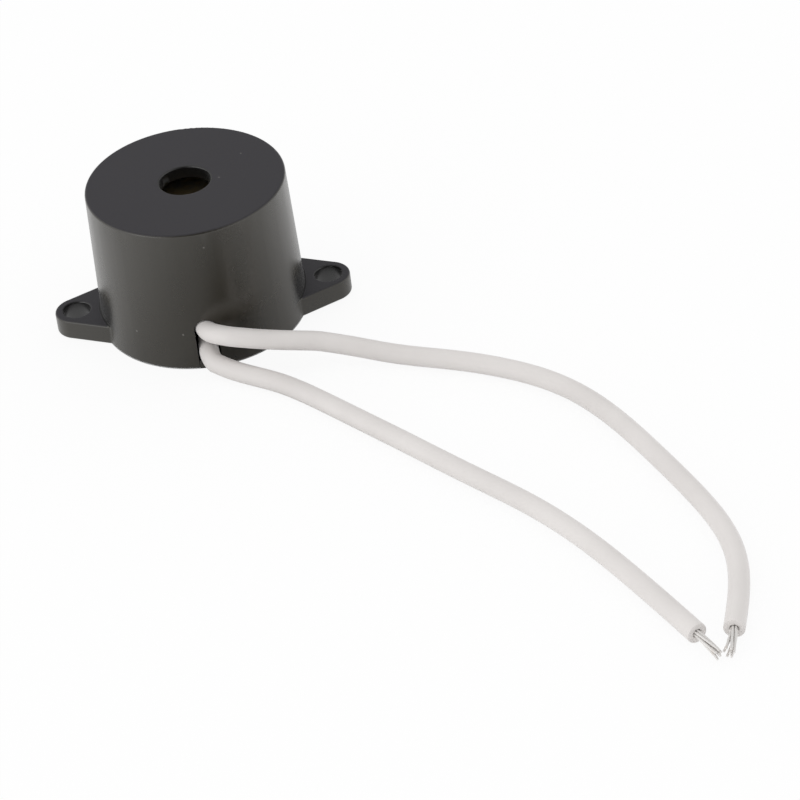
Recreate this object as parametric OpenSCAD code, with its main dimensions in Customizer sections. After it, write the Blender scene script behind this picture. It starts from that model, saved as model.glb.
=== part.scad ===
// Piezo buzzer with two screw ears and two leads.
// A drafted moulded cup holds a piezo disc and the board that drives it, and a cover
// pressed in from below closes it. The origin is the centre of the base, the ears lie
// along X, and the leads leave through a slot in the wall towards -Y.

/* [Housing] */
// Outer diameter of the cup at its base
body_d = 24.5; // [20:0.1:30]
// How far the wall leans in from its base to its top, for the draft of the mould
wall_lean = 0.55; // [0.3:0.05:0.8]
// Height of the cup
body_h = 18.1; // [16:0.1:24]
// Thickness of the top wall
top_wall = 1.5; // [1:0.1:2.2]
// Radius on the outer edge of the top
rim_r = 0.3; // [0.1:0.05:0.8]
// Diameter of the sound hole
sound_d = 6; // [3:0.1:9]
// Radius on the mouth of the sound hole
sound_edge_r = 0.2; // [0.1:0.05:0.6]
// Depth of the resonance chamber under the top wall
chamber_h = 2.6; // [1.5:0.1:3.5]
// Width of the ledge that the diaphragm is bonded to
ledge_w = 0.9; // [0.6:0.1:1.5]

/* [Ears] */
// Distance of a screw hole's centre from the base circle of the cup
hole_reach = 2.75; // [2.2:0.05:6]
// Diameter of a screw hole
hole_d = 3.2; // [2:0.1:3.6]
// Radius of the round end of an ear
ear_r = 2.6; // [2.3:0.1:3.6]
// Thickness of an ear
ear_t = 2.5; // [1.5:0.1:4]
// Width of an ear where it meets the cup
ear_root_w = 9.4; // [7.6:0.1:12]

/* [Lead slot] */
// Width of the slot in the wall
slot_w = 2.7; // [2.7:0.1:4]
// Height of the slot above the base, to the top of its round end
slot_h = 6.5; // [6.5:0.1:6.7]

/* [Piezo element] */
// Distance of the diaphragm's edge from the outside of the cup at its top
diaphragm_inset = 1.7; // [1.5:0.05:2.2]
// Thickness of the brass diaphragm
diaphragm_t = 0.2; // [0.1:0.05:0.4]
// Width of the bare brass rim round the ceramic disc
brass_rim = 3; // [2.7:0.1:4]
// Thickness of the ceramic disc
ceramic_t = 0.22; // [0.1:0.02:0.4]
// Width and height of the silicone bead under the edge of the diaphragm
seal_w = 0.9; // [0.4:0.1:1.1]

/* [Driver board] */
// Distance of the board's edge from the outside of the cup at its base
board_inset = 1.75; // [1.6:0.05:1.85]
// Thickness of the board
board_t = 1; // [0.6:0.1:1.2]
// Height of the ledge above the base that the board's upper face seats against
board_seat = 7.8; // [7.5:0.1:9]

/* [Back cover] */
// Distance of the cover's edge from the outside of the cup at its base
cover_inset = 1.35; // [1.05:0.05:1.45]
// Thickness of the cover's disc
cover_t = 1; // [0.6:0.05:1.05]
// Width of the chamfer round the outer face of the cover
cover_chamfer = 0.2; // [0.05:0.05:0.4]
// Diameter of a post that carries the board
post_d = 2.2; // [1.2:0.1:3]

/* [Leads] */
// Outer diameter of a lead's insulation
lead_d = 2.3; // [1.8:0.05:2.4]
// Diameter of one strand of a lead's conductor
strand_d = 0.28; // [0.1:0.01:0.3]
// Diameter of the soldered inner end of a conductor
tail_d = 0.8; // [0.4:0.05:1]
// Bare length of the upper lead's outer end
upper_bare_l = 3.5; // [1:0.1:3.6]
// Bare length of the lower lead's outer end
lower_bare_l = 4; // [1:0.1:4.2]
// Diameter of a link wire between the board and the piezo element
link_d = 0.7; // [0.4:0.05:0.9]

/* [Fits] */
// Gap round the diaphragm in its bore
diaphragm_gap = 0.15; // [0.05:0.05:0.3]
// Gap round the board in its bore
board_gap = 0.1; // [0.05:0.05:0.2]
// Gap round the cover in its recess, and beside its key in the slot
cover_gap = 0.05; // [0.02:0.01:0.1]
// Gap round a lead's inner end in the board
tail_gap = 0.1; // [0.05:0.05:0.2]

/* [Hidden] */
$fn = 96;
// Overrun of a cut past the face it opens
cut = 1;

// What the cup holds is as wide as the cup allows
top_d = body_d - 2 * wall_lean;
diaphragm_d = top_d - 2 * diaphragm_inset;
ceramic_d = diaphragm_d - 2 * brass_rim;
board_d = body_d - 2 * board_inset;
cover_d = body_d - 2 * cover_inset;
hole_pitch = body_d + 2 * hole_reach;

// The bores step inwards from the base up, so each piece goes in from below
recess_r = cover_d / 2 + cover_gap;
board_bore_r = board_d / 2 + board_gap;
diaphragm_bore_r = diaphragm_d / 2 + diaphragm_gap;
chamber_r = diaphragm_d / 2 - ledge_w;
chamber_top = body_h - top_wall;
seat_z = chamber_top - chamber_h;
board_z = board_seat - board_t;

// The draft of the wall, and the centre of the round on the rim
draft = atan(wall_lean / body_h);
rim_c = top_d / 2 + rim_r * tan(draft) - rim_r / cos(draft);

// An ear's sides run from the cup's base circle to just inside the round end, so they cross it
ear_side_r = ear_r - 0.01;
root_x = sqrt(pow(body_d / 2, 2) - pow(ear_root_w / 2, 2));
root_to_hole = norm([hole_pitch / 2 - root_x, ear_root_w / 2]);
ear_taper = atan2(ear_root_w / 2, hole_pitch / 2 - root_x) - asin(ear_side_r / root_to_hole);
// How far an ear's sides run on into the wall of the cup
ear_embed = 0.8;

// The posts stand on a circle just inside the board's edge, clear of the leads
post_places = [45:90:315];
post_inset = 0.6;
post_ring_r = board_d / 2 - post_d / 2 - post_inset;

// Solder joints: radii at the foot and at the tip, and the height
solder_foot_r = 0.75;
solder_tip_r = 0.5;
solder_h = 0.5;

// The stripped inner end of a lead: its straight run, its bend, and what stands above the board
tail_run = 0.4;
tail_bend_r = 1;
tail_proud = 0.7;

// A swept tube has this many sides
tube_sides = 8;

// How each lead lies, from its inner end, out through the slot, to its stripped outer end.
// Here y is 0 at the mouth of the slot.
upper_lie = [
    [-0.2, 4.85, 5.1], [-0.2, 3.25, 5.1], [-0.14, 1.65, 5.1], [0, 0.45, 5.15],
    [0.42, -0.6, 5.3], [1.3, -1.5, 5.45], [2.8, -2.2, 5.35], [4.8, -2.6, 5],
    [7.2, -2.6, 4.4], [9.8, -2.35, 3.7], [12.3, -2.2, 3.1], [14.8, -2.4, 2.45],
    [17.3, -3.05, 1.9], [20, -4.05, 1.4], [22.5, -5.05, 1.2], [26.1, -6.55, 1.2],
    [29.6, -8.15, 1.2], [33, -10.15, 1.2], [36.4, -12.55, 1.2], [39.5, -15.65, 1.2],
    [42.5, -20.05, 1.2], [45.2, -25.65, 1.2], [47.7, -31.85, 1.2], [50, -37.95, 1.2],
    [51.6, -43.15, 1.2], [52.3, -47.45, 1.2], [52.2, -51.55, 1.2], [51.5, -55.35, 1.2],
    [50.6, -58.65, 1.2], [49.9, -61.05, 1.2]
];
lower_lie = [
    [0.1, 8.45, 2.2], [0.1, 5.85, 2.2], [0.05, 3.25, 2.2], [0, 1.05, 2.2],
    [0.05, -0.5, 2.1], [0.55, -1.9, 1.8], [1.8, -3.1, 1.5], [3.75, -4.2, 1.3],
    [5.85, -5.45, 1.2], [7.8, -6.85, 1.2], [11, -10.25, 1.2], [14.3, -14.15, 1.2],
    [17.5, -17.95, 1.2], [20.7, -21.75, 1.2], [23.8, -25.55, 1.2], [26.9, -29.25, 1.2],
    [30, -32.85, 1.2], [33, -36.55, 1.2], [35.8, -40.65, 1.2], [38.5, -45.25, 1.2],
    [41.1, -50.35, 1.2], [43.6, -55.55, 1.2], [46.1, -60.95, 1.2]
];

upper_route = from_slot(upper_lie);
lower_route = from_slot(lower_lie);

// Where each lead's tail comes up through the board
upper_tail_at = [upper_route[0].x, upper_route[0].y + tail_run + tail_bend_r];
lower_tail_at = [lower_route[0].x, lower_route[0].y + tail_run + tail_bend_r];

// Where the driver's parts sit on the board
transistor_at = board_d * [0, 0.26];
diode_at = board_d * [0.19, -0.31];
bias_resistor_at = board_d * [-0.24, 0];
load_resistor_at = board_d * [0.215, 0.025];
feedback_resistor_at = board_d * [-0.24, -0.215];

// Where each link wire leaves the board, and where it meets the piezo element
ceramic_wire_from = board_d * [0.215, 0.24];
ceramic_wire_to = ceramic_d * [0.145, 0.215];
feedback_wire_from = board_d * [-0.215, 0.24];
feedback_wire_to = ceramic_d * [-0.285, 0.145];
brass_wire_from = board_d * [0.31, -0.17];
brass_wire_to = [(ceramic_d / 2 + diaphragm_bore_r - seal_w) / 2, 0];
ceramic_face = seat_z - diaphragm_t - ceramic_t;
brass_face = seat_z - diaphragm_t;

// Half section of the cup's outside, with its draft and its rounded rim
module cup_section() {
    polygon([
        [0, 0],
        [body_d / 2, 0],
        [rim_c + rim_r * cos(draft), body_h - rim_r + rim_r * sin(draft)],
        [rim_c, body_h - rim_r],
        [rim_c, body_h],
        [0, body_h]
    ]);
    translate([rim_c, body_h - rim_r]) circle(rim_r);
}

// Half section of the stepped bores, from the cover's recess up to the sound hole
module bore_section() {
    polygon([
        [0, -cut],
        [recess_r, -cut],
        [recess_r, cover_t],
        [board_bore_r, cover_t],
        [board_bore_r, board_seat],
        [diaphragm_bore_r, board_seat],
        [diaphragm_bore_r, seat_z],
        [chamber_r, seat_z],
        [chamber_r, chamber_top],
        [sound_d / 2, chamber_top],
        [sound_d / 2, body_h + cut],
        [0, body_h + cut]
    ]);
    difference() {
        translate([sound_d / 2 - sound_edge_r, body_h - sound_edge_r])
            square([2 * sound_edge_r, sound_edge_r + cut]);
        translate([sound_d / 2 + sound_edge_r, body_h - sound_edge_r]) circle(sound_edge_r);
    }
}

// Outline of the ear on +X: a round end, and a plate that widens into the wall
module ear_outline() {
    end_x = hole_pitch / 2 + ear_side_r * sin(ear_taper);
    end_y = ear_side_r * cos(ear_taper);
    embed = ear_embed * [cos(ear_taper), -sin(ear_taper)];
    root = [root_x, ear_root_w / 2] - embed;
    translate([hole_pitch / 2, 0]) circle(ear_r);
    polygon([[end_x, end_y], [root.x, root.y], [root.x, -root.y], [end_x, -end_y]]);
}

// The ear on +X, without its hole
module ear() {
    linear_extrude(ear_t) ear_outline();
}

// The opening of the lead slot, through the wall on -Y
module slot_opening() {
    slot_l = body_d / 2 - diaphragm_bore_r + 2 * cut;
    translate([0, -diaphragm_bore_r + cut, 0]) rotate([90, 0, 0]) linear_extrude(slot_l) {
        translate([-slot_w / 2, -cut]) square([slot_w, slot_h - slot_w / 2 + cut]);
        translate([0, slot_h - slot_w / 2]) circle(d = slot_w);
    }
}

module housing() {
    color([0.16, 0.16, 0.17]) difference() {
        union() {
            rotate_extrude() cup_section();
            ear();
            mirror([1, 0, 0]) ear();
        }
        rotate_extrude() bore_section();
        slot_opening();
        for (side = [-1, 1])
            translate([side * hole_pitch / 2, 0, -cut]) cylinder(d = hole_d, h = ear_t + 2 * cut);
    }
}

module back_cover() {
    key_w = slot_w - 2 * cover_gap;
    color([0.2, 0.2, 0.2]) {
        cylinder(d1 = cover_d - 2 * cover_chamfer, d2 = cover_d, h = cover_chamfer);
        translate([0, 0, cover_chamfer]) cylinder(d = cover_d, h = cover_t - cover_chamfer);
        intersection() {
            translate([-key_w / 2, -body_d, 0]) cube([key_w, body_d, cover_t]);
            rotate_extrude() cup_section();
        }
        for (turn = post_places)
            rotate(turn) translate([post_ring_r, 0, cover_t / 2])
                cylinder(d = post_d, h = board_z - cover_t / 2);
    }
}

module diaphragm() {
    color([0.8, 0.66, 0.32])
        translate([0, 0, brass_face]) cylinder(d = diaphragm_d, h = diaphragm_t);
}

module piezo_ceramic() {
    color([0.82, 0.82, 0.8])
        translate([0, 0, ceramic_face]) cylinder(d = ceramic_d, h = ceramic_t);
}

// A bead of silicone with a sloped face, in the corner under the diaphragm
module diaphragm_seal() {
    color([0.9, 0.9, 0.88]) rotate_extrude() polygon([
        [diaphragm_bore_r - seal_w, brass_face],
        [diaphragm_bore_r, brass_face],
        [diaphragm_bore_r, brass_face - seal_w]
    ]);
}

module circuit_board() {
    color([0.72, 0.6, 0.36]) difference() {
        translate([0, 0, board_z]) cylinder(d = board_d, h = board_t);
        for (at = [upper_tail_at, lower_tail_at])
            translate([at.x, at.y, board_z - cut])
                cylinder(d = tail_d + 2 * tail_gap, h = board_t + 2 * cut);
    }
}

// A lead's lie, moved to the mouth of the slot in the wall
function from_slot(lie) = [for (at = lie) at - [0, body_d / 2, 0]];

// A small surface-mount package: a body with sloped sides on bent metal legs.
// legs lists each leg's place along x and the side of the body that it leaves.
module package(size, leg_w, legs) {
    stand = 0.1;
    slope = 0.1;
    sheet = 0.15;
    leg_root = size.y / 2 - 0.2;
    leg_knee = size.y / 2 + 0.1;
    leg_toe = leg_knee + 0.5;
    shoulder_z = stand + size.z / 2;
    translate([-size.x / 2, 0, stand]) rotate([90, 0, 90]) linear_extrude(size.x) polygon([
        [slope - size.y / 2, 0],
        [size.y / 2 - slope, 0],
        [size.y / 2, size.z / 2],
        [size.y / 2 - slope, size.z],
        [slope - size.y / 2, size.z],
        [-size.y / 2, size.z / 2]
    ]);
    for (leg = legs)
        translate([leg[0] - leg[1] * leg_w / 2, 0, 0]) rotate([90, 0, leg[1] > 0 ? 90 : 270])
            linear_extrude(leg_w) polygon([
                [leg_root, shoulder_z - sheet],
                [leg_knee, shoulder_z - sheet],
                [leg_knee, 0],
                [leg_toe, 0],
                [leg_toe, sheet],
                [leg_knee + sheet, sheet],
                [leg_knee + sheet, shoulder_z],
                [leg_root, shoulder_z]
            ]);
}

module transistor() {
    color([0.12, 0.12, 0.12]) translate([transistor_at.x, transistor_at.y, board_seat])
        package([2.9, 1.3, 1], 0.4, [[-0.95, -1], [0.95, -1], [0, 1]]);
}

module diode() {
    color([0.12, 0.12, 0.12]) translate([diode_at.x, diode_at.y, board_seat]) rotate(90)
        package([1.6, 2.7, 1.1], 0.6, [[0, -1], [0, 1]]);
}

// A chip resistor: a ceramic plate between two wrapped metal ends
module chip_resistor(at, turn) {
    plate = [1.6, 1.2, 0.5];
    end_l = 0.3;
    end_wrap = 0.05;
    translate([at.x, at.y, board_seat]) rotate(turn) {
        translate([-plate.x / 2, -plate.y / 2, end_wrap]) cube(plate);
        for (side = [-1, 1])
            translate([side * (plate.x + end_l) / 2, 0, plate.z / 2 + end_wrap])
                cube([end_l + 2 * end_wrap, plate.y, plate.z + 2 * end_wrap], center = true);
    }
}

module bias_resistor() {
    color([0.25, 0.25, 0.28]) chip_resistor(bias_resistor_at, 90);
}

module load_resistor() {
    color([0.25, 0.25, 0.28]) chip_resistor(load_resistor_at, 90);
}

module feedback_resistor() {
    color([0.25, 0.25, 0.28]) chip_resistor(feedback_resistor_at, 0);
}

function unit(v) = v / norm(v);

// Direction of a route at one of its points
function along(route, i) =
    unit(route[min(i + 1, len(route) - 1)] - route[max(i - 1, 0)]);

// One ring of a tube, square to the route and turned to a steady side
function ring(centre, ahead, steady, r) =
    let (side = unit(cross(ahead, steady)), over = cross(side, ahead))
    [for (k = [0:tube_sides - 1])
        let (a = 360 * (k + 0.5) / tube_sides)
        centre + r * (cos(a) * side + sin(a) * over)];

// A tube swept along a route; steady is a direction that the route never takes
module tube(route, d, steady) {
    last = len(route) - 1;
    points = [for (i = [0:last]) each ring(route[i], along(route, i), steady, d / 2)];
    walls = [for (i = [0:last - 1], k = [0:tube_sides - 1])
        let (
            a = i * tube_sides + k,
            b = i * tube_sides + (k + 1) % tube_sides
        )
        each [[a, b, b + tube_sides], [a, b + tube_sides, a + tube_sides]]];
    caps = [
        [for (k = [tube_sides - 1:-1:0]) k],
        [for (k = [0:tube_sides - 1]) last * tube_sides + k]
    ];
    polyhedron(points, concat(walls, caps));
}

// Route of a link wire: straight up at both ends, with an easy bow between them
function link_route(from, to, face) =
    let (low = board_seat + solder_h, high = face - solder_h, end_h = 0.5, steps = 8)
    [for (i = [-1:steps + 1])
        let (
            t = min(max(i / steps, 0), 1),
            bow = t * t * (3 - 2 * t),
            plan = from + (to - from) * bow,
            height = i < 0 ? low : i > steps ? high : low + end_h + (high - low - 2 * end_h) * t
        )
        [plan.x, plan.y, height]];

module link_wire(from, to, face) {
    level = [1, 0.3, 0];
    tube(link_route(from, to, face), link_d, level);
}

module ceramic_wire() {
    color([0.7, 0.1, 0.08]) link_wire(ceramic_wire_from, ceramic_wire_to, ceramic_face);
}

module feedback_wire() {
    color([0.1, 0.2, 0.6]) link_wire(feedback_wire_from, feedback_wire_to, ceramic_face);
}

module brass_wire() {
    color([0.1, 0.1, 0.1]) link_wire(brass_wire_from, brass_wire_to, brass_face);
}

module board_solder() {
    color([0.75, 0.76, 0.78]) translate([0, 0, board_seat]) {
        for (at = [ceramic_wire_from, feedback_wire_from, brass_wire_from])
            translate([at.x, at.y, 0]) cylinder(r1 = solder_foot_r, r2 = solder_tip_r, h = solder_h);
        for (at = [upper_tail_at, lower_tail_at])
            translate([at.x, at.y, 0]) difference() {
                cylinder(r1 = solder_foot_r, r2 = solder_tip_r, h = solder_h);
                translate([0, 0, -cut]) cylinder(d = tail_d, h = solder_h + 2 * cut);
            }
    }
}

module piezo_solder() {
    joints = [
        [ceramic_wire_to, ceramic_face],
        [feedback_wire_to, ceramic_face],
        [brass_wire_to, brass_face]
    ];
    color([0.75, 0.76, 0.78]) for (joint = joints)
        translate([joint[0].x, joint[0].y, joint[1] - solder_h])
            cylinder(r1 = solder_tip_r, r2 = solder_foot_r, h = solder_h);
}

module upper_lead() {
    color([0.88, 0.87, 0.86]) tube(upper_route, lead_d, [0, 0, 1]);
}

module lower_lead() {
    color([0.88, 0.87, 0.86]) tube(lower_route, lead_d, [0, 0, 1]);
}

// The stripped inner end of a lead: on along +Y, round a bend, and up through the board
module lead_tail(start) {
    rise = board_seat + tail_proud - start.z - tail_bend_r;
    color([0.76, 0.74, 0.7]) translate(start) {
        rotate([-90, 0, 0]) cylinder(d = tail_d, h = tail_run);
        translate([0, tail_run, tail_bend_r]) rotate([90, 0, 90]) rotate([0, 0, 270])
            rotate_extrude(angle = 90) translate([tail_bend_r, 0]) circle(d = tail_d);
        translate([0, tail_run + tail_bend_r, tail_bend_r]) cylinder(d = tail_d, h = rise);
    }
}

module upper_lead_tail() {
    lead_tail(upper_route[0]);
}

module lower_lead_tail() {
    lead_tail(lower_route[0]);
}

// The stripped outer end of a lead: one strand amid six, which spread a little towards their tips
module bare_end(route, length) {
    spread = 2;
    strand_gap = 0.02;
    end = route[len(route) - 1];
    ahead = along(route, len(route) - 1);
    color([0.76, 0.74, 0.7]) translate(end) rotate([0, 90, atan2(ahead.y, ahead.x)]) {
        cylinder(d = strand_d, h = length);
        for (turn = [0:60:300])
            rotate(turn) translate([strand_d + strand_gap, 0, strand_d / 2 * sin(spread)])
                rotate([0, spread, 0]) cylinder(d = strand_d, h = length);
    }
}

module upper_bare_end() {
    bare_end(upper_route, upper_bare_l);
}

module lower_bare_end() {
    bare_end(lower_route, lower_bare_l);
}

housing();
back_cover();
diaphragm();
piezo_ceramic();
diaphragm_seal();
circuit_board();
transistor();
bias_resistor();
load_resistor();
feedback_resistor();
diode();
ceramic_wire();
feedback_wire();
brass_wire();
board_solder();
piezo_solder();
upper_lead();
lower_lead();
upper_lead_tail();
lower_lead_tail();
upper_bare_end();
lower_bare_end();
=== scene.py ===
"""Looks of a small piezo buzzer: a black moulded cup with two screw ears, a sound hole in its
top, and two white leads that leave through a slot in its wall. Lengths are in metres."""
import math

import bmesh
import bpy
import numpy as np
from mathutils import Matrix, Vector


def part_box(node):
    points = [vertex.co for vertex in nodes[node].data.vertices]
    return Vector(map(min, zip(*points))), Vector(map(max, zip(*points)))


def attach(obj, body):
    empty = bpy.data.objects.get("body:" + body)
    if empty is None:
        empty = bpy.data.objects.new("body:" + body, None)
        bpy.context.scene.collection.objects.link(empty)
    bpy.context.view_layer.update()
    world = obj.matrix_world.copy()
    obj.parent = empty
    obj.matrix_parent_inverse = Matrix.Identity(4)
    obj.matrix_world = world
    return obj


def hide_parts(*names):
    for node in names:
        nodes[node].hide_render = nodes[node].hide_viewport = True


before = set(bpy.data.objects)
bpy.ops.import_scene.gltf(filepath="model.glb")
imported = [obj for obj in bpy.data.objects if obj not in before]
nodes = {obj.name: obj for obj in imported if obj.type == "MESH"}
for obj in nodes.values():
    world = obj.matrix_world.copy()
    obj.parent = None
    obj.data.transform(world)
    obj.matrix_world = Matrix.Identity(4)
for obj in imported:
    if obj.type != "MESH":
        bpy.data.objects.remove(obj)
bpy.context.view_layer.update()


# Camera. A long lens looks down on the buzzer from the side where its leads come out,
# and leans a little to one side.
camera_at = Vector((0.00942, -0.33887, 0.22778))
camera_turn = -0.036
camera_rise = 0.626
camera_lean = -0.123
camera_back = Vector((
    math.sin(camera_turn) * math.cos(camera_rise),
    -math.cos(camera_turn) * math.cos(camera_rise),
    math.sin(camera_rise),
))
level = Vector((math.cos(camera_turn), math.sin(camera_turn), 0))
over = camera_back.cross(level)
camera_right = math.cos(camera_lean) * level + math.sin(camera_lean) * over
camera_up = math.cos(camera_lean) * over - math.sin(camera_lean) * level
lens = bpy.data.cameras.new("bench_view")
lens.lens = 154.4
lens.sensor_width = 36
lens.clip_start = 0.01
lens.clip_end = 10
camera = bpy.data.objects.new("bench_view", lens)
bpy.context.scene.collection.objects.link(camera)
turned = Matrix((camera_right, camera_up, camera_back)).transposed().to_4x4()
camera.matrix_world = Matrix.Translation(camera_at) @ turned
bpy.context.scene.camera = camera


# Housing. One black moulding: a drafted cup with a flat top, two tapered ears and a slot.
# The mould leaves the top and the ears finely matt and the drawn wall smoother. The edges
# and corners of the ears and the base come out a little rounded, and the slot stays crisp.
class Value:
    """A value in a node tree. Arithmetic on it adds Math nodes."""

    def __init__(self, tree, socket):
        self.tree = tree
        self.socket = socket

    def math(self, operation, *terms):
        return self.tree.node("Math", {"operation": operation}, dict(enumerate(terms)))

    def __add__(self, other):
        return self.math("ADD", self, other)

    def __sub__(self, other):
        return self.math("SUBTRACT", self, other)

    def __rsub__(self, other):
        return self.math("SUBTRACT", other, self)

    def __mul__(self, other):
        return self.math("MULTIPLY", self, other)

    def __lt__(self, other):
        return self.math("LESS_THAN", self, other)

    def __gt__(self, other):
        return self.math("GREATER_THAN", self, other)

    def __abs__(self):
        return self.math("ABSOLUTE", self)

    def __or__(self, other):
        return self.math("MAXIMUM", self, other)

    __radd__ = __add__
    __rmul__ = __mul__


class Tree:
    """A node tree in the making, with one method that adds any node."""

    def __init__(self, owner):
        owner.use_nodes = True
        self.nodes = owner.node_tree.nodes
        self.links = owner.node_tree.links

    def fill(self, socket, value):
        if isinstance(value, Value):
            self.links.new(value.socket, socket)
        elif socket.type == "RGBA":
            socket.default_value = (*value, 1)
        else:
            socket.default_value = value

    def node(self, kind, settings=None, inputs=None, output=0):
        made = self.nodes.new("ShaderNode" + kind)
        for name, value in (settings or {}).items():
            setattr(made, name, value)
        for name, value in (inputs or {}).items():
            self.fill(made.inputs[name], value)
        return Value(self, made.outputs[output])


class Finish(Tree):
    """A material in the making: its shader, and the patterns that its surface is made of."""

    def __init__(self, name, **constants):
        self.material = bpy.data.materials.new(name)
        super().__init__(self.material)
        self.shader = self.nodes["Principled BSDF"].inputs
        for socket, value in constants.items():
            self.fill(self.shader[socket.replace("_", " ")], value)

    def place(self):
        return self.node("TexCoord", output="Object")

    def stretched(self, scale):
        return self.node("VectorMath", {"operation": "MULTIPLY"}, {0: self.place(), 1: scale})

    def noise(self, scale, detail=2.0, at=None):
        inputs = {"Vector": at or self.place(), "Scale": scale, "Detail": detail}
        return self.node("TexNoise", None, inputs, "Fac")

    def part(self, vector, axis):
        return self.node("SeparateXYZ", None, {0: vector}, axis)

    def step(self, value, low, high):
        inputs = {"Value": value, "From Min": low, "From Max": high}
        return self.node("MapRange", {"interpolation_type": "SMOOTHSTEP"}, inputs)

    def blend(self, share, first, second):
        return self.node("Mix", {"data_type": "RGBA"}, {0: share, 6: first, 7: second}, 2)

    def surface(self, colour, roughness, height=None, depth=0.0, metallic=None):
        self.fill(self.shader["Base Color"], colour)
        self.fill(self.shader["Roughness"], roughness)
        if metallic is not None:
            self.fill(self.shader["Metallic"], metallic)
        if height is not None:
            bump = {"Height": height, "Distance": depth, "Strength": 1.0}
            self.fill(self.shader["Normal"], self.node("Bump", None, bump))
        return self.material


def dress(piece, material):
    piece.data.materials.clear()
    piece.data.materials.append(material)


# Near-black plastic tones, in pairs for random mottling. The wall pair is tinted warm and the
# up-facing pair is darker and tinted cool: a painted tint of the warm light reflected onto the
# wall and the cool light from above.
wall_tones_warm_lit = ((0.0125, 0.009, 0.0025), (0.0165, 0.0125, 0.0045))
up_face_tones_cool_lit = ((0.0035, 0.001, 0.0075), (0.0065, 0.004, 0.0105))
# Painted shade: a darker tone inside the bores of the sound hole and the screw holes.
hole_shade_tone = (0.004, 0.0037, 0.0037)
# Painted shade: a near-black tone on the wall just above the ear roots, where the ears meet it.
ear_root_shade_tone = (0.001, 0.001, 0.001)
dust_tone = (0.2, 0.19, 0.18)
port_reach = 0.0032
port_foot = 0.01
screw_from_middle = 0.015
screw_reach = 0.00172
ear_top = 0.00252
root_start = 0.01
root_full = 0.0112
root_end = 0.0127
root_fades_from = 0.0045
root_fades_to = 0.0075


def moulded_plastic(name):
    """Black plastic, matt where it faces up, with a little dust, a painted tint of the light on
    its up-facing faces and its wall, and painted shade in its holes and where the ears meet the
    wall."""
    plastic = Finish(name, Specular_IOR_Level=1.0, Sheen_Weight=0.12, Sheen_Roughness=0.4)
    across, along, rise = (plastic.part(plastic.place(), axis) for axis in "XYZ")
    up = plastic.part(plastic.node("NewGeometry", output="Normal"), "Z")
    matt = plastic.step(up, 0.5, 0.95)
    corner = plastic.step(up, 0.05, 0.2)
    cloud = plastic.noise(260.0, detail=3.0)
    drawn = plastic.noise(1.0, at=plastic.stretched((2600.0, 2600.0, 60.0)))
    grain = plastic.noise(9000.0, detail=1.0)
    specks = {"Vector": plastic.place(), "Scale": 330.0}
    dust = (plastic.node("TexVoronoi", None, specks, "Distance") < 0.045) * 0.5
    # The bores of the sound hole and the screw holes, where the colour is painted shade.
    port = (across * across + along * along < port_reach**2) * (rise > port_foot)
    from_screw = abs(across) - screw_from_middle
    screw_hole = from_screw * from_screw + along * along < screw_reach**2
    # The wall just above each ear root, darkened with painted shade.
    root = plastic.step(abs(across), root_start, root_full) * (abs(across) < root_end)
    root = root * (1 - plastic.step(rise, root_fades_from, root_fades_to)) * (rise > ear_top)
    # The warm wall tint and the cool up-facing tint are painted light.
    wall = plastic.blend(cloud, *wall_tones_warm_lit)
    flat = plastic.blend(cloud, *up_face_tones_cool_lit)
    colour = plastic.blend(port | screw_hole, plastic.blend(matt, wall, flat), hole_shade_tone)
    colour = plastic.blend(dust, colour, dust_tone)
    # Painted shade where the ears meet the wall.
    colour = plastic.blend(root * 0.9, colour, ear_root_shade_tone)
    roughness = 0.25 + 0.24 * matt + 0.06 * cloud + root * (0.7 * corner - 0.04)
    height = grain * (0.15 + 0.85 * matt) + 0.2 * drawn * (1 - matt)
    return plastic.surface(colour, roughness, height, depth=0.000008)


def make_piece(name, shape, material):
    smooth_turn = math.radians(30)
    mesh = bpy.data.meshes.new(name)
    shape.to_mesh(mesh)
    shape.free()
    mesh.shade_smooth()
    mesh.set_sharp_from_angle(angle=smooth_turn)
    piece = bpy.data.objects.new(name, mesh)
    bpy.context.scene.collection.objects.link(piece)
    dress(piece, material)
    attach(piece, "root")
    return piece


edge_round = 0.00026
wall_inside = 0.0119
slot_half = 0.0014
weld_reach = 1e-6
flat_turn = math.radians(0.3)
sharp_turn = math.radians(35)
shell = bmesh.new()
shell.from_mesh(nodes["housing"].data)
bmesh.ops.remove_doubles(shell, verts=shell.verts, dist=weld_reach)
bmesh.ops.dissolve_limit(shell, angle_limit=flat_turn, verts=shell.verts, edges=shell.edges)
outer_edges = [
    edge for edge in shell.edges
    if edge.calc_face_angle() > sharp_turn
    and all(vert.co.xy.length > wall_inside for vert in edge.verts)
    and any(abs(vert.co.x) > slot_half or vert.co.y > 0 for vert in edge.verts)
]
bmesh.ops.bevel(
    shell, geom=outer_edges, offset=edge_round, offset_type="OFFSET", segments=3, profile=0.5,
    affect="EDGES", clamp_overlap=False,
)
housing = make_piece("housing_shell", shell, moulded_plastic("housing_plastic"))
even = housing.modifiers.new("flats_stay_flat", "WEIGHTED_NORMAL")
even.keep_sharp = True
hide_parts("housing")


# Piezo element. A disc of rolled brass with a fired silver coat on its ceramic face, bonded
# into the cup by a bead of clear silicone.
bright_brass = (0.42, 0.32, 0.17)
dull_brass = (0.2, 0.185, 0.145)
brass = Finish("rolled_brass")
rolled = brass.noise(1.0, detail=3.0, at=brass.stretched((150.0, 9000.0, 150.0)))
tarnish = brass.step(brass.noise(420.0, detail=4.0), 0.3, 0.65)
brass.surface(
    brass.blend(tarnish, bright_brass, dull_brass), 0.35 + 0.25 * tarnish + 0.1 * rolled,
    rolled, depth=0.000004, metallic=0.75 - 0.35 * tarnish,
)
dress(nodes["diaphragm"], brass.material)

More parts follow.
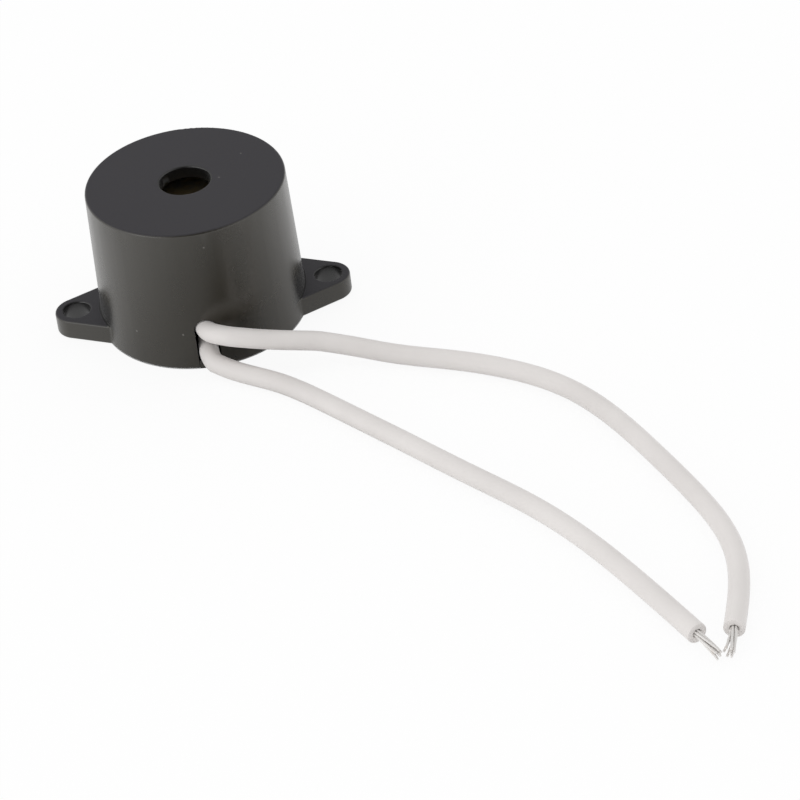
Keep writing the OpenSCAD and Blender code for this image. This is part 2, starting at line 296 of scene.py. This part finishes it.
grey_silver = (0.62, 0.61, 0.59)
pale_silver = (0.8, 0.79, 0.77)
silver = Finish("fired_silver")
fired = silver.noise(3800.0, detail=3.0)
silver.surface(
    silver.blend(fired, grey_silver, pale_silver), 0.45 + 0.25 * fired,
    fired, depth=0.00001, metallic=0.8 - 0.3 * fired,
)
dress(nodes["piezo_ceramic"], silver.material)

thin_silicone = (0.7, 0.7, 0.67)
thick_silicone = (0.82, 0.82, 0.8)
silicone = Finish("silicone_bead", Subsurface_Weight=0.2, Subsurface_Scale=0.0006)
ripple = silicone.noise(700.0)
silicone.surface(
    silicone.blend(ripple, thin_silicone, thick_silicone), 0.25 + 0.2 * ripple,
    ripple, depth=0.00004,
)
dress(nodes["diaphragm_seal"], silicone.material)


# Driver board. A round blank of brown paper laminate, punched and drilled, with a driver of
# a transistor, a diode and three chip resistors soldered to its upper face.
deep_tan = (0.34, 0.21, 0.08)
pale_tan = (0.5, 0.34, 0.15)
fleck_brown = (0.24, 0.13, 0.05)
laminate = Finish("paper_laminate")
fibre = laminate.noise(1.0, detail=4.0, at=laminate.stretched((500.0, 4200.0, 2000.0)))
fleck = laminate.step(laminate.noise(1600.0), 0.6, 0.72)
tan = laminate.blend(fibre, deep_tan, pale_tan)
laminate.surface(
    laminate.blend(fleck * 0.6, tan, fleck_brown), 0.5 + 0.2 * fibre, fibre, depth=0.00001,
)
dress(nodes["circuit_board"], laminate.material)

deep_epoxy = (0.012, 0.012, 0.013)
grey_epoxy = (0.03, 0.03, 0.031)
leg_metal = (0.62, 0.61, 0.6)
body_half = {"transistor": ("Y", 0.00066), "diode": ("X", 0.00136)}
for name, (axis, half) in body_half.items():
    low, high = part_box(name)
    middle = (low + high)["XYZ".index(axis)] / 2
    epoxy = Finish(name + "_epoxy")
    leg = abs(epoxy.part(epoxy.place(), axis) - middle) > half
    sand = epoxy.noise(14000.0)
    black = epoxy.blend(sand, deep_epoxy, grey_epoxy)
    epoxy.surface(
        epoxy.blend(leg, black, leg_metal), 0.55 - 0.25 * leg + 0.1 * sand,
        sand, depth=0.000008, metallic=leg,
    )
    dress(nodes[name], epoxy.material)

deep_glaze = (0.02, 0.02, 0.024)
grey_glaze = (0.05, 0.05, 0.056)
cap_metal = (0.68, 0.68, 0.69)
cap_from_middle = 0.00076
caps_along = {"bias_resistor": "Y", "load_resistor": "Y", "feedback_resistor": "X"}
for name, axis in caps_along.items():
    low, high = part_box(name)
    middle = (low + high)["XYZ".index(axis)] / 2
    chip = Finish(name + "_glaze")
    cap = abs(chip.part(chip.place(), axis) - middle) > cap_from_middle
    glaze = chip.noise(6000.0, detail=3.0)
    dark = chip.blend(glaze, deep_glaze, grey_glaze)
    chip.surface(
        chip.blend(cap, dark, cap_metal), 0.28 + 0.15 * glaze, glaze, depth=0.000006, metallic=cap,
    )
    dress(nodes[name], chip.material)


# Link wires. Three thin insulated wires join the board to the piezo element, and each end is
# held by a cone of bright solder.
wire_tones = {
    "ceramic_wire": ((0.42, 0.02, 0.015), (0.55, 0.04, 0.025)),
    "feedback_wire": ((0.02, 0.06, 0.32), (0.035, 0.1, 0.45)),
    "brass_wire": ((0.012, 0.012, 0.012), (0.025, 0.025, 0.026)),
}
for name, (deep, pale) in wire_tones.items():
    sleeve = Finish(name + "_sleeve")
    pulled = sleeve.noise(1800.0, detail=3.0)
    sleeve.surface(sleeve.blend(pulled, deep, pale), 0.3 + 0.15 * pulled, pulled, depth=0.000006)
    dress(nodes[name], sleeve.material)

dull_solder = (0.5, 0.51, 0.53)
bright_solder = (0.7, 0.71, 0.72)
solder = Finish("bright_solder")
flow = solder.noise(2200.0, detail=3.0)
solder.surface(
    solder.blend(flow, dull_solder, bright_solder), 0.2 + 0.25 * flow,
    flow, depth=0.00002, metallic=1.0,
)
for name in ("board_solder", "piezo_solder"):
    dress(nodes[name], solder.material)


# Leads. Two stranded wires in soft white PVC leave through the slot, one above the other, and
# lie loose on the bench. The PVC is extruded round the strands, so a cut end is a thick ring.
lead_width = 0.0023
lead_bore = 0.001
line_spacing = 0.0006
relax_passes = 24
relax_from = -0.0145
upper_route = [
    (-0.0002, -0.0074, 0.0051), (-0.0002, -0.009, 0.0051), (-0.00014, -0.0106, 0.0051),
    (0, -0.0118, 0.00515), (0.00042, -0.01285, 0.0053), (0.0013, -0.01375, 0.00545),
    (0.0028, -0.01445, 0.00535), (0.0048, -0.01485, 0.005), (0.0072, -0.01485, 0.0044),
    (0.0098, -0.0146, 0.0037), (0.0123, -0.01445, 0.0031), (0.0148, -0.01465, 0.00245),
    (0.0173, -0.0153, 0.0019), (0.02, -0.0163, 0.0014), (0.0225, -0.0173, 0.0012),
    (0.0261, -0.0188, 0.0012), (0.0296, -0.0204, 0.0012), (0.033, -0.0224, 0.0012),
    (0.0364, -0.0248, 0.0012), (0.0395, -0.0279, 0.0012), (0.0425, -0.0323, 0.0012),
    (0.0452, -0.0379, 0.0012), (0.0477, -0.0441, 0.0012), (0.05, -0.0502, 0.0012),
    (0.0516, -0.0554, 0.0012), (0.0523, -0.0597, 0.0012), (0.0522, -0.0638, 0.0012),
    (0.0515, -0.0676, 0.0012), (0.0506, -0.0709, 0.0012), (0.0499, -0.0733, 0.0012),
]
lower_route = [
    (0.0001, -0.0038, 0.0022), (0.0001, -0.0064, 0.0022), (5e-05, -0.009, 0.0022),
    (0, -0.0112, 0.0022), (5e-05, -0.01275, 0.0021), (0.00055, -0.01415, 0.0018),
    (0.0018, -0.01535, 0.0015), (0.00375, -0.01645, 0.0013), (0.00585, -0.0177, 0.0012),
    (0.0078, -0.0191, 0.0012), (0.011, -0.0225, 0.0012), (0.0143, -0.0264, 0.0012),
    (0.0175, -0.0302, 0.0012), (0.0207, -0.034, 0.0012), (0.0238, -0.0378, 0.0012),
    (0.0269, -0.0415, 0.0012), (0.03, -0.0451, 0.0012), (0.033, -0.0488, 0.0012),
    (0.0358, -0.0529, 0.0012), (0.0385, -0.0575, 0.0012), (0.0411, -0.0626, 0.0012),
    (0.0436, -0.0678, 0.0012), (0.0461, -0.0732, 0.0012),
]


def smooth_line(points):
    """Close points on a smooth curve by the points given, relaxed where the wire lies free."""
    points = [Vector(point) for point in points]
    points = [2 * points[0] - points[1], *points, 2 * points[-1] - points[-2]]
    line = []
    for before, start, end, after in zip(points, points[1:], points[2:], points[3:]):
        count = max(2, round((end - start).length / line_spacing))
        for t in np.linspace(0, 1, count, endpoint=False):
            bend = 2 * before - 5 * start + 4 * end - after
            twist = 3 * start - before - 3 * end + after
            line.append(0.5 * (2 * start + (end - before) * t + bend * t**2 + twist * t**3))
    line.append(points[-2])
    for _ in range(relax_passes):
        eased = [(a + 2 * b + c) / 4 for a, b, c in zip(line, line[1:], line[2:])]
        line[1:-1] = [new if new.y < relax_from else old for old, new in zip(line[1:-1], eased)]
    return line


def stations(line):
    """Each point of a line with the direction there and a side that never twists round it."""
    found = []
    side = Vector((0, 0, 1))
    for before, at, after in zip([line[0], *line], line, [*line[1:], line[-1]]):
        ahead = (after - before).normalized()
        side = (side - side.dot(ahead) * ahead).normalized()
        found.append((at, ahead, side))
    return found


def add_ring(shape, station, radius, sides):
    at, ahead, side = station
    other = ahead.cross(side)
    ring = []
    for turn in np.linspace(0, 2 * math.pi, sides, endpoint=False):
        out = math.cos(turn) * side + math.sin(turn) * other
        ring.append(shape.verts.new(at + radius * out))
    return ring


def join_rings(shape, rings):
    for ring, beyond in zip(rings, rings[1:]):
        for k in range(len(ring)):
            shape.faces.new((ring[k - 1], ring[k], beyond[k], beyond[k - 1]))
    shape.faces.new(rings[0][::-1])
    shape.faces.new(rings[-1])


clean_pvc = (0.757, 0.726, 0.708)
soiled_pvc = (0.706, 0.675, 0.657)
pvc = Finish("white_pvc", Sheen_Weight=0.9, Sheen_Roughness=0.25)
soil = pvc.step(pvc.noise(130.0, detail=4.0), 0.35, 0.8)
peel = pvc.noise(1500.0)
pvc.surface(pvc.blend(soil, clean_pvc, soiled_pvc), 0.38 + 0.15 * peel, peel, depth=0.000012)


def make_lead(name, route):
    sides = 32
    half = lead_width / 2
    bore = lead_bore / 2
    bore_depth = 0.0016
    cut = 0.00008
    eased = 0.3 * cut
    line = smooth_line(route)
    path = stations(line)
    end, ahead, side = path[-1]
    shape = bmesh.new()
    rings = [add_ring(shape, station, half, sides) for station in path[:-1]]
    end_profile = [
        (-cut, half), (-eased, half - eased), (0, half - cut),
        (0, bore + cut), (-eased, bore + eased), (-cut, bore), (-bore_depth, bore),
    ]
    for back, radius in end_profile:
        rings.append(add_ring(shape, (end + back * ahead, ahead, side), radius, sides))
    join_rings(shape, rings)
    lead = make_piece(name, shape, pvc.material)
    return lead, [tuple(point) for point in line]


upper_lead, upper_line = make_lead("upper_insulation", upper_route)
lower_lead, lower_line = make_lead("lower_insulation", lower_route)
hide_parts("upper_lead")
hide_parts("lower_lead")


# Bare ends. Each conductor is seven tinned copper strands, one amid six, which come out of the
# cut PVC with a little of their twist left and splay towards their tips. The inner ends are
# tinned solid and bent up through the board.
grey_tin = (0.8, 0.78, 0.76)
bright_tin = (0.9, 0.88, 0.86)
bare_copper = (0.74, 0.64, 0.56)
tinned = Finish("tinned_copper")
tin = tinned.noise(5200.0, detail=3.0)
worn = tinned.step(tinned.noise(900.0), 0.62, 0.75)
coat = tinned.blend(tin, grey_tin, bright_tin)
tinned.surface(
    tinned.blend(worn * 0.5, coat, bare_copper), 0.42 + 0.2 * tin,
    tin, depth=0.000003, metallic=0.35 + 0.2 * tin,
)
for name in ("upper_lead_tail", "lower_lead_tail"):
    dress(nodes[name], tinned.material)


def make_strands(name, line, length, splay, lean, seed):
    sides = 10
    half = 0.00014
    pitch = 0.0003
    inside = 0.0014
    twist = 260.0
    uneven = 0.12
    stray_by = 0.00005
    chance = np.random.default_rng(seed)
    end, ahead, side = stations([Vector(point) for point in line])[-1]
    other = ahead.cross(side)
    shape = bmesh.new()
    for k in range(7):
        reach = length * (1 - uneven * chance.random())
        stray = chance.normal(0, stray_by, 2)
        points = []
        for s in np.linspace(-inside, reach, 16):
            out = max(0.0, s / reach)
            turn = math.radians(60 * k) + twist * s
            arm = 0 if k == 0 else pitch * (1 + splay * out**1.5)
            across = arm * math.cos(turn) + (stray[0] + lean[0]) * out**2
            above = arm * math.sin(turn) + (stray[1] + lean[1]) * out**2
            points.append(end + ahead * s + other * across + side * above)
        path = stations(points)
        rings = [add_ring(shape, station, half, sides) for station in path]
        tip, way, flank = path[-1]
        rings.append(add_ring(shape, (tip + 0.3 * half * way, way, flank), 0.7 * half, sides))
        join_rings(shape, rings)
    strands = make_piece(name, shape, tinned.material)
    return strands


upper_strands = make_strands("upper_strands", upper_line, 0.0036, 0.7, (0.0002, -0.0003), seed=3)
lower_strands = make_strands("lower_strands", lower_line, 0.004, 0.35, (0.0001, -0.0002), seed=8)
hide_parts("upper_bare_end")
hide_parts("lower_bare_end")


# Back cover. A black disc pressed into the base from below, with a key that closes the foot of
# the slot under the leads.
dress(nodes["back_cover"], moulded_plastic("cover_plastic"))


# Floor. A wide sheet of plain white paper that the buzzer and its leads lie on. The eye sees it
# nearly white with a soft shadow, and no glow comes from under the cup. In front of the slot it
# has a wide and a narrow soft shade, which only reflections see.
floor_reach = 2.0
floor_drop = 0.00005
corners = [(-1, -1), (1, -1), (1, 1), (-1, 1)]
floor_points = [(floor_reach * x, floor_reach * y, -floor_drop) for x, y in corners]
floor_mesh = bpy.data.meshes.new("floor")
floor_mesh.from_pydata(floor_points, [], [(0, 1, 2, 3)])
floor = bpy.data.objects.new("floor", floor_mesh)
bpy.context.scene.collection.objects.link(floor)


def looked_at(tree):
    """One where the eye sees a thing straight or through glass."""
    straight = tree.node("LightPath", output="Is Camera Ray")
    return straight | tree.node("LightPath", output="Is Transmission Ray")


def mirrored(tree):
    """One where the eye sees a thing in a reflection."""
    return tree.node("LightPath", output="Is Glossy Ray")


def along_way(tree, vector, way):
    """How far a vector goes along a way."""
    return tree.node("VectorMath", {"operation": "DOT_PRODUCT"}, {0: vector, 1: way}, "Value")


def soft_spot(sheet, middle, turn, long_half, short_half):
    """Nought in the middle of an oval on a sheet, rising softly to one at its rim."""
    squares = []
    for way, half in ((turn, long_half), (turn + math.pi / 2, short_half)):
        axis = Vector((math.cos(way), math.sin(way), 0)) / half
        off = along_way(sheet, sheet.place(), axis) - axis.dot(middle)
        squares.append(off * off)
    out = squares[0] + squares[1]
    return sheet.step(out.math("SQRT", out), 0.0, 1.0)


paper_tones = ((0.93, 0.93, 0.93), (0.96, 0.96, 0.96))
wide_middle = Vector((0.007, -0.024, 0))
wide_half = 0.052
band_middle = Vector((0.0087, -0.0242, 0))
band_turn = math.radians(-64)
band_long_half = 0.026
band_short_half = 0.011
foot_reach = 0.0122
paper = Finish("white_paper")
fibres = paper.noise(900.0, detail=3.0)
paper.surface(paper.blend(fibres, *paper_tones), 0.85, fibres, depth=0.00002)
wide_shade = 0.36 + 0.64 * soft_spot(paper, wide_middle, 0.0, wide_half, wide_half)
band_spot = soft_spot(paper, band_middle, band_turn, band_long_half, band_short_half)
band_shade = 0.02 + 0.98 * band_spot
lit_share = (wide_shade * band_shade) | looked_at(paper)
white = paper.blend(lit_share, (0.0, 0.0, 0.0), (1.0, 1.0, 1.0))
glow = paper.node("Emission", None, {"Color": white, "Strength": 1.0})
from_middle = paper.node("VectorMath", {"operation": "LENGTH"}, {0: paper.place()}, "Value")
glow_share = (0.9 * looked_at(paper)) | (0.97 * mirrored(paper))
glow_share = glow_share * (from_middle > foot_reach)
lit_paper = Value(paper, paper.nodes["Principled BSDF"].outputs[0])
shown = paper.node("MixShader", None, {0: glow_share, 1: lit_paper, 2: glow})
paper.fill(paper.nodes["Material Output"].inputs["Surface"], shown)
dress(floor, paper.material)


# Light. A tent of white cloth lights everything evenly. It is open, so darker, at the front, and
# in reflections it also darkens towards its top and back. A broad lamp above the left shoulder
# and a low one below it give the forms their direction.
mouth_way = (0, -0.85, 0.53)
mouth_edge = 0.6
world = bpy.data.worlds.new("white_tent")
bpy.context.scene.world = world
tent = Tree(world)
towards = tent.node("TexCoord", output="Generated")
to_right, to_back, to_top = (tent.node("SeparateXYZ", None, {0: towards}, axis) for axis in "XYZ")
mouth = 2.5 * ((along_way(tent, towards, mouth_way) - mouth_edge) | 0)
cloth_gloss = (0.4 * to_top + 0.5 * (to_back | 0) + 0.5 * mouth) * mirrored(tent)
cloth = (1.0 - 0.1 * to_right - cloth_gloss - 0.3 * mouth) | 0
tent_strength = cloth + (1 - cloth) * looked_at(tent)
tent.fill(tent.nodes["Background"].inputs["Color"], (1.0, 1.0, 1.0))
tent.fill(tent.nodes["Background"].inputs["Strength"], tent_strength)

lamps = {
    "broad_lamp": (Vector((-0.35, -0.3, 0.7)), 0.9, 0.25),
    "low_lamp": (Vector((-0.48, -0.42, 0.1)), 0.5, 0.6),
}
for name, (lamp_at, size, energy) in lamps.items():
    lamp_data = bpy.data.lights.new(name, "AREA")
    lamp_data.shape = "SQUARE"
    lamp_data.size = size
    lamp_data.energy = energy
    lamp = bpy.data.objects.new(name, lamp_data)
    lamp.location = lamp_at
    lamp.rotation_euler = (-lamp_at).to_track_quat("-Z", "Y").to_euler()
    bpy.context.scene.collection.objects.link(lamp)

bpy.context.scene.view_settings.view_transform = "Standard"
